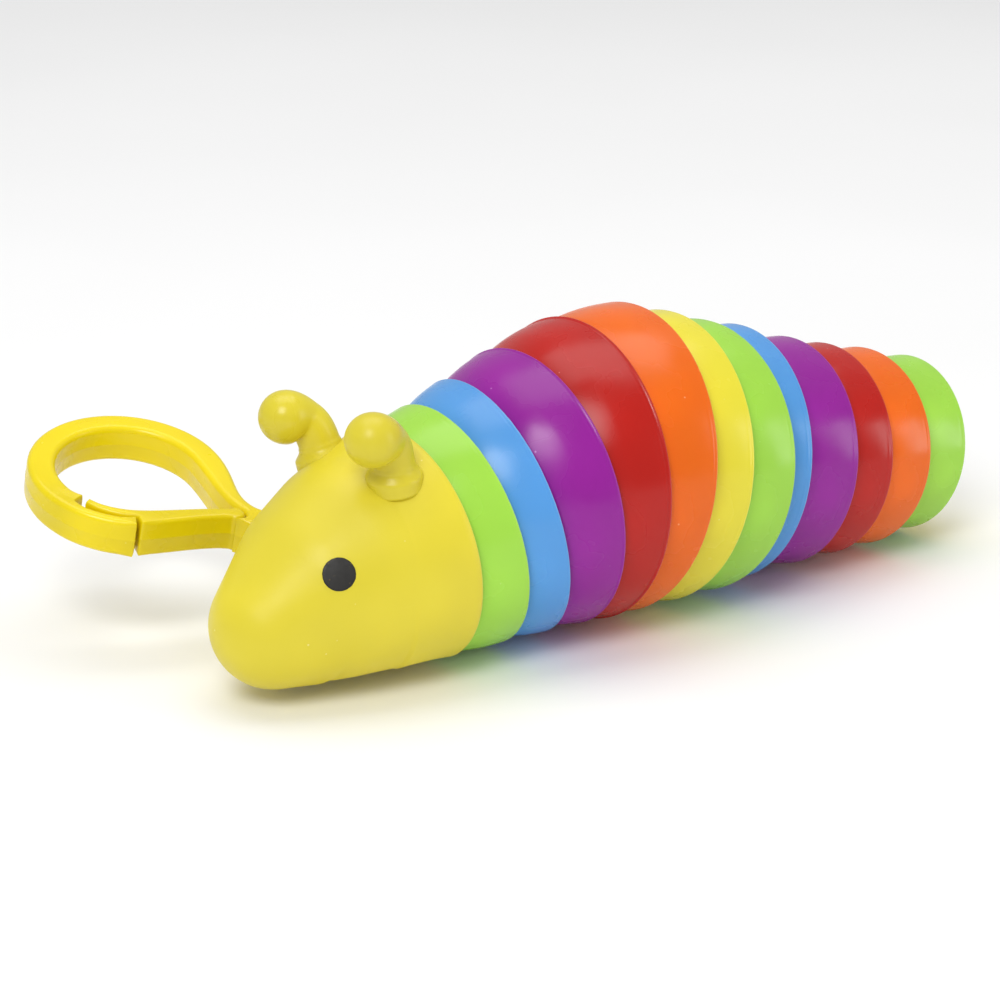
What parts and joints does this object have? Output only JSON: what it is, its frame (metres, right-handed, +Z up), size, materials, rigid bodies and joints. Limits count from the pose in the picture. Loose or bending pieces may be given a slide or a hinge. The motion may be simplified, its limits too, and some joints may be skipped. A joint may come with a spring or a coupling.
{
  "type": "articulated fidget slug with snap clip",
  "caption": "Jointed toy slug of nested rainbow bell segments with a yellow head, two antennae and a side snap-hook clip; bends side to side and up and down.",
  "frame": {"origin": "middle of the whole object's bounding box in plan, at the height of the surface it rests on", "axes": "+X along the row of segments from head to tail, +Y to the side with the clip, +Z up"},
  "size_m": [0.1011, 0.054, 0.0325],
  "materials": {
    "yellow": "satin moulded plastic",
    "green": "glossy moulded plastic",
    "blue": "glossy moulded plastic",
    "purple": "glossy moulded plastic",
    "red": "glossy moulded plastic",
    "orange": "glossy moulded plastic",
    "eye_black": "matte paint black",
    "natural_white": "natural moulded plastic",
    "clip_yellow": "glossy moulded plastic"
  },
  "bodies": {
    "head": {"head_shell": "yellow", "head_fork": "yellow", "antenna_left": "yellow", "antenna_right": "yellow", "eye_left": "eye_black", "eye_right": "eye_black"},
    "link_01": {"joint_cross_01": "natural_white"},
    "segment_01": {"ring_01": "green"},
    "link_02": {"joint_cross_02": "natural_white"},
    "segment_02": {"ring_02": "blue"},
    "link_03": {"joint_cross_03": "natural_white"},
    "segment_03": {"ring_03": "purple"},
    "link_04": {"joint_cross_04": "natural_white"},
    "segment_04": {"ring_04": "red"},
    "link_05": {"joint_cross_05": "natural_white"},
    "segment_05": {"ring_05": "orange"},
    "link_06": {"joint_cross_06": "natural_white"},
    "segment_06": {"ring_06": "yellow"},
    "link_07": {"joint_cross_07": "natural_white"},
    "segment_07": {"ring_07": "green"},
    "link_08": {"joint_cross_08": "natural_white"},
    "segment_08": {"ring_08": "blue"},
    "link_09": {"joint_cross_09": "natural_white"},
    "segment_09": {"ring_09": "purple"},
    "link_10": {"joint_cross_10": "natural_white"},
    "segment_10": {"ring_10": "red"},
    "link_11": {"joint_cross_11": "natural_white"},
    "segment_11": {"ring_11": "orange"},
    "link_12": {"joint_cross_12": "natural_white"},
    "segment_12": {"ring_12": "green", "tail": "yellow"},
    "clip": {"clip_frame": "clip_yellow", "clip_retainer": "natural_white"},
    "gate": {"clip_gate": "clip_yellow"}
  },
  "joints": [
    {"name": "yaw_01", "type": "hinge", "parent": "head", "child": "link_01", "pos_m": [-0.01525, -0.00979, 0.01344], "axis": [-0.1143, 0.0852, 0.9898], "range_deg": [-4, 12]},
    {"name": "pitch_01", "type": "hinge", "parent": "link_01", "child": "segment_01", "pos_m": [-0.01525, -0.00979, 0.01344], "axis": [0.0618, 0.995, -0.0785], "range_deg": [-5.5, 13.5]},
    {"name": "yaw_02", "type": "hinge", "parent": "segment_01", "child": "link_02", "pos_m": [-0.01025, -0.01002, 0.0144], "axis": [-0.1832, 0.0886, 0.9791], "range_deg": [-5, 11]},
    {"name": "pitch_02", "type": "hinge", "parent": "link_02", "child": "segment_02", "pos_m": [-0.01025, -0.01002, 0.0144], "axis": [0.1131, 0.9912, -0.0686], "range_deg": [-8.5, 10.5]},
    {"name": "yaw_03", "type": "hinge", "parent": "segment_02", "child": "link_03", "pos_m": [-0.00519, -0.01052, 0.01548], "axis": [-0.2002, 0.0903, 0.9756], "range_deg": [-13, 3]},
    {"name": "pitch_03", "type": "hinge", "parent": "link_03", "child": "segment_03", "pos_m": [-0.00519, -0.01052, 0.01548], "axis": [0.0278, 0.9959, -0.0865], "range_deg": [-14.5, 4.5]},
    {"name": "yaw_04", "type": "hinge", "parent": "segment_03", "child": "link_04", "pos_m": [0.00027, -0.01062, 0.01612], "axis": [-0.1141, 0.0891, 0.9895], "range_deg": [-8, 8]},
    {"name": "pitch_04", "type": "hinge", "parent": "link_04", "child": "segment_04", "pos_m": [0.00027, -0.01062, 0.01612], "axis": [0.0278, 0.9959, -0.0865], "range_deg": [-17.5, 1.5]},
    {"name": "yaw_05", "type": "hinge", "parent": "segment_04", "child": "link_05", "pos_m": [0.00587, -0.01079, 0.01599], "axis": [0.0253, 0.0858, 0.996], "range_deg": [-8, 8]},
    {"name": "pitch_05", "type": "hinge", "parent": "link_05", "child": "segment_05", "pos_m": [0.00587, -0.01079, 0.01599], "axis": [0.0278, 0.9959, -0.0865], "range_deg": [-17.5, 1.5]},
    {"name": "yaw_06", "type": "hinge", "parent": "segment_05", "child": "link_06", "pos_m": [0.0111, -0.01101, 0.01514], "axis": [0.1641, 0.0808, 0.9831], "range_deg": [-9, 7]},
    {"name": "pitch_06", "type": "hinge", "parent": "link_06", "child": "segment_06", "pos_m": [0.0111, -0.01101, 0.01514], "axis": [0.0106, 0.9964, -0.0837], "range_deg": [-9.5, 9.5]},
    {"name": "yaw_07", "type": "hinge", "parent": "segment_06", "child": "link_07", "pos_m": [0.01622, -0.01114, 0.01429], "axis": [0.1641, 0.0808, 0.9831], "range_deg": [-13, 3]},
    {"name": "pitch_07", "type": "hinge", "parent": "link_07", "child": "segment_07", "pos_m": [0.01622, -0.01114, 0.01429], "axis": [-0.0754, 0.9948, -0.0692], "range_deg": [-8.5, 10.5]},
    {"name": "yaw_08", "type": "hinge", "parent": "segment_07", "child": "link_08", "pos_m": [0.02165, -0.01078, 0.01345], "axis": [0.1469, 0.0797, 0.9859], "range_deg": [-1, 15]},
    {"name": "pitch_08", "type": "hinge", "parent": "link_08", "child": "segment_08", "pos_m": [0.02165, -0.01078, 0.01345], "axis": [0.0453, 0.9952, -0.0872], "range_deg": [-10.5, 8.5]},
    {"name": "yaw_09", "type": "hinge", "parent": "segment_08", "child": "link_09", "pos_m": [0.02894, -0.01122, 0.01227], "axis": [0.1641, 0.0787, 0.9833], "range_deg": [-9, 7]},
    {"name": "pitch_09", "type": "hinge", "parent": "link_09", "child": "segment_09", "pos_m": [0.02894, -0.01122, 0.01227], "axis": [0.0281, 0.996, -0.0844], "range_deg": [-8.5, 10.5]},
    {"name": "yaw_10", "type": "hinge", "parent": "segment_09", "child": "link_10", "pos_m": [0.03448, -0.01144, 0.01147], "axis": [0.1469, 0.0794, 0.986], "range_deg": [-9, 7]},
    {"name": "pitch_10", "type": "hinge", "parent": "link_10", "child": "segment_10", "pos_m": [0.03448, -0.01144, 0.01147], "axis": [0.0109, 0.9966, -0.0819], "range_deg": [-9, 10]},
    {"name": "yaw_11", "type": "hinge", "parent": "segment_10", "child": "link_11", "pos_m": [0.04012, -0.01157, 0.01069], "axis": [0.1383, 0.0796, 0.9872], "range_deg": [-11, 5]},
    {"name": "pitch_11", "type": "hinge", "parent": "link_11", "child": "segment_11", "pos_m": [0.04012, -0.01157, 0.01069], "axis": [-0.041, 0.9964, -0.0746], "range_deg": [-10, 9]},
    {"name": "yaw_12", "type": "hinge", "parent": "segment_11", "child": "link_12", "pos_m": [0.04744, -0.01135, 0.00958], "axis": [0.1469, 0.0798, 0.9859], "range_deg": [-6, 10]},
    {"name": "pitch_12", "type": "hinge", "parent": "link_12", "child": "segment_12", "pos_m": [0.04744, -0.01135, 0.00958], "axis": [-0.0065, 0.9968, -0.0798], "range_deg": [-10.5, 8.5]},
    {"name": "clip_swivel", "type": "hinge", "parent": "head", "child": "clip", "pos_m": [-0.0312, 0.00217, 0.011], "axis": [-0.5142, 0.8229, 0.2419], "continuous": true},
    {"name": "gate_flex", "type": "hinge", "parent": "clip", "child": "gate", "pos_m": [-0.03411, 0.00542, 0.01195], "axis": [-0.006, -0.2855, 0.9583], "range_deg": [-12, 0], "stiffness_Nm_per_rad": 0.05}
  ]
}
